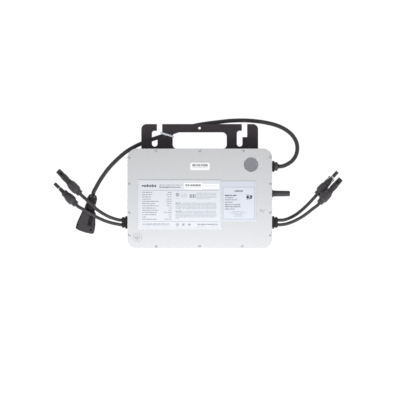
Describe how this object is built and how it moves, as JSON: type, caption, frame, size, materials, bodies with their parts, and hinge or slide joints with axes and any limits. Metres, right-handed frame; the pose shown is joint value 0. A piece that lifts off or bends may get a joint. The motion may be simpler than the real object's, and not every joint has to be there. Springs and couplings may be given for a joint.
{
  "type": "solar micro-inverter",
  "caption": "Flat cast aluminium solar micro-inverter with a slotted steel bracket, a stub antenna, mains cable with flat plug, and solar panel leads with latching plugs.",
  "frame": {"origin": "middle of the flat pad on the back of the case, which lies on the table", "axes": "+Z out of the labelled lid, +Y towards the bracket, +X towards the antenna and the mains gland"},
  "size_m": [0.5221, 0.2346, 0.0351],
  "materials": {
    "cast_aluminium": "fine cast grain, satin",
    "lid_aluminium": "fine matt bead-blasted and clear anodised",
    "gasket_rubber": "matt",
    "grey_potting": "smooth cast silicone",
    "black_steel": "matt black powder coat",
    "white_nylon": "semi-matt",
    "label_film": "printed polyester film, matt",
    "white_label": "printed, matt",
    "light_pipe": "frosted translucent",
    "bright_steel": "zinc plated",
    "board_green": "solder mask",
    "ferrite": "matt sintered",
    "copper_wire": "enamelled copper wire",
    "capacitor_sleeve": "shrink sleeve",
    "component_black": "moulded",
    "shield_can": "tin plated",
    "antenna_plastic": "fine spark-eroded texture",
    "black_plastic": "moulded, fine texture",
    "cable_jacket": "matt extruded jacket",
    "seal_rubber": "matt silicone",
    "contact_metal": "tin plated copper alloy"
  },
  "bodies": {
    "root": {"ac_cable": "cable_jacket", "ac_gland": "black_plastic", "ac_gland_nut": "black_plastic", "ac_plug_body": "black_plastic", "ac_plug_contacts": "contact_metal", "antenna": "antenna_plastic", "bracket_screw_1": "bright_steel", "bracket_screw_2": "bright_steel", "bracket_screw_3": "bright_steel", "bracket_screw_4": "bright_steel", "cable_tie": "white_nylon", "circuit_board": "board_green", "data_label": "label_film", "dc_gland_left": "black_plastic", "dc_gland_right": "black_plastic", "dc_lead_left_lower": "cable_jacket", "dc_lead_left_upper": "cable_jacket", "dc_lead_right_lower": "cable_jacket", "dc_lead_right_upper": "cable_jacket", "grid_relay": "component_black", "housing": "cast_aluminium", "left_female_body": "black_plastic", "left_female_seal": "seal_rubber", "left_female_socket": "contact_metal", "left_input_capacitor": "capacitor_sleeve", "left_male_body": "black_plastic", "left_male_pin": "contact_metal", "left_transformer_core": "ferrite", "left_transformer_winding": "copper_wire", "lid": "lid_aluminium", "lid_gasket": "gasket_rubber", "mounting_bracket": "black_steel", "potting_compound": "grey_potting", "radio_module": "shield_can", "rating_label": "label_film", "right_female_body": "black_plastic", "right_female_seal": "seal_rubber", "right_female_socket": "contact_metal", "right_input_capacitor": "capacitor_sleeve", "right_male_body": "black_plastic", "right_male_pin": "contact_metal", "right_transformer_core": "ferrite", "right_transformer_winding": "copper_wire", "serial_label": "white_label", "status_light": "light_pipe"},
    "left_male_collet_body": {"left_male_collet": "seal_rubber"},
    "left_male_nut_body": {"left_male_nut": "black_plastic"},
    "left_female_collet_body": {"left_female_collet": "seal_rubber"},
    "left_female_nut_body": {"left_female_nut": "black_plastic"},
    "right_female_collet_body": {"right_female_collet": "seal_rubber"},
    "right_female_nut_body": {"right_female_nut": "black_plastic"},
    "right_male_collet_body": {"right_male_collet": "seal_rubber"},
    "right_male_nut_body": {"right_male_nut": "black_plastic"},
    "ac_plug_collet_body": {"ac_plug_collet": "seal_rubber"},
    "ac_plug_nut_body": {"ac_plug_nut": "black_plastic"},
    "left_female_latch_a": {"left_female_latch_a": "black_plastic"},
    "left_female_latch_b": {"left_female_latch_b": "black_plastic"},
    "right_female_latch_a": {"right_female_latch_a": "black_plastic"},
    "right_female_latch_b": {"right_female_latch_b": "black_plastic"},
    "ac_plug_latch": {"ac_plug_latch": "black_plastic"}
  },
  "joints": [
    {"name": "left_male_collet_slide", "type": "slide", "parent": "root", "child": "left_male_collet_body", "axis": [0.6813, -0.7067, 0.1908], "range_m": [0, 0.0045]},
    {"name": "left_male_nut_turn", "type": "hinge", "parent": "left_male_collet_body", "child": "left_male_nut_body", "pos_m": [-0.216, 0.0084, 0.0166], "axis": [0.6813, -0.7067, 0.1908], "range_deg": [0, 1080]},
    {"name": "left_female_collet_slide", "type": "slide", "parent": "root", "child": "left_female_collet_body", "axis": [0.6996, -0.6782, 0.225], "range_m": [0, 0.0045]},
    {"name": "left_female_nut_turn", "type": "hinge", "parent": "left_female_collet_body", "child": "left_female_nut_body", "pos_m": [-0.2234, -0.0109, 0.0158], "axis": [0.6996, -0.6782, 0.225], "range_deg": [0, 1080]},
    {"name": "right_female_collet_slide", "type": "slide", "parent": "root", "child": "right_female_collet_body", "axis": [-0.6692, -0.7431, 0], "range_m": [0, 0.0045]},
    {"name": "right_female_nut_turn", "type": "hinge", "parent": "right_female_collet_body", "child": "right_female_nut_body", "pos_m": [0.2116, 0.0068, 0.0085], "axis": [-0.6692, -0.7431, 0], "range_deg": [0, 1080]},
    {"name": "right_male_collet_slide", "type": "slide", "parent": "root", "child": "right_male_collet_body", "axis": [-0.6513, -0.7298, 0.2079], "range_m": [0, 0.0045]},
    {"name": "right_male_nut_turn", "type": "hinge", "parent": "right_male_collet_body", "child": "right_male_nut_body", "pos_m": [0.2162, -0.0083, 0.0236], "axis": [-0.6513, -0.7298, 0.2079], "range_deg": [0, 1080]},
    {"name": "ac_plug_collet_slide", "type": "slide", "parent": "root", "child": "ac_plug_collet_body", "axis": [0.2274, 0.9738, 0], "range_m": [0, 0.0045]},
    {"name": "ac_plug_nut_turn", "type": "hinge", "parent": "ac_plug_collet_body", "child": "ac_plug_nut_body", "pos_m": [-0.1928, 0.0068, 0.0093], "axis": [0.2274, 0.9738, 0], "range_deg": [0, 1080]},
    {"name": "left_female_latch_a_flex", "type": "hinge", "parent": "root", "child": "left_female_latch_a", "pos_m": [-0.24715, 0.01212, 0.01324], "axis": [-0.696, -0.718, 0], "range_deg": [0, 5], "stiffness_Nm_per_rad": 0.2},
    {"name": "left_female_latch_b_flex", "type": "hinge", "parent": "root", "child": "left_female_latch_b", "pos_m": [-0.24555, 0.01057, 0.0036], "axis": [0.696, 0.718, 0], "range_deg": [0, 5], "stiffness_Nm_per_rad": 0.2},
    {"name": "right_female_latch_a_flex", "type": "hinge", "parent": "root", "child": "right_female_latch_a", "pos_m": [0.22987, 0.03449, 0.0085], "axis": [0, 0, -1], "range_deg": [0, 5], "stiffness_Nm_per_rad": 0.2},
    {"name": "right_female_latch_b_flex", "type": "hinge", "parent": "root", "child": "right_female_latch_b", "pos_m": [0.23723, 0.02786, 0.0085], "axis": [0, 0, 1], "range_deg": [0, 5], "stiffness_Nm_per_rad": 0.2},
    {"name": "ac_plug_latch_rock", "type": "hinge", "parent": "root", "child": "ac_plug_latch", "pos_m": [-0.1979, -0.04079, 0.0137], "axis": [-0.9738, 0.2274, 0], "range_deg": [0, 5], "stiffness_Nm_per_rad": 0.1}
  ],
  "couplings": [
    {"joint": "left_male_nut_turn", "follows": "left_male_collet_slide", "rad_per_m": 4188.7},
    {"joint": "left_female_nut_turn", "follows": "left_female_collet_slide", "rad_per_m": 4188.7},
    {"joint": "right_female_nut_turn", "follows": "right_female_collet_slide", "rad_per_m": 4188.7},
    {"joint": "right_male_nut_turn", "follows": "right_male_collet_slide", "rad_per_m": 4188.7},
    {"joint": "ac_plug_nut_turn", "follows": "ac_plug_collet_slide", "rad_per_m": 4188.7}
  ]
}
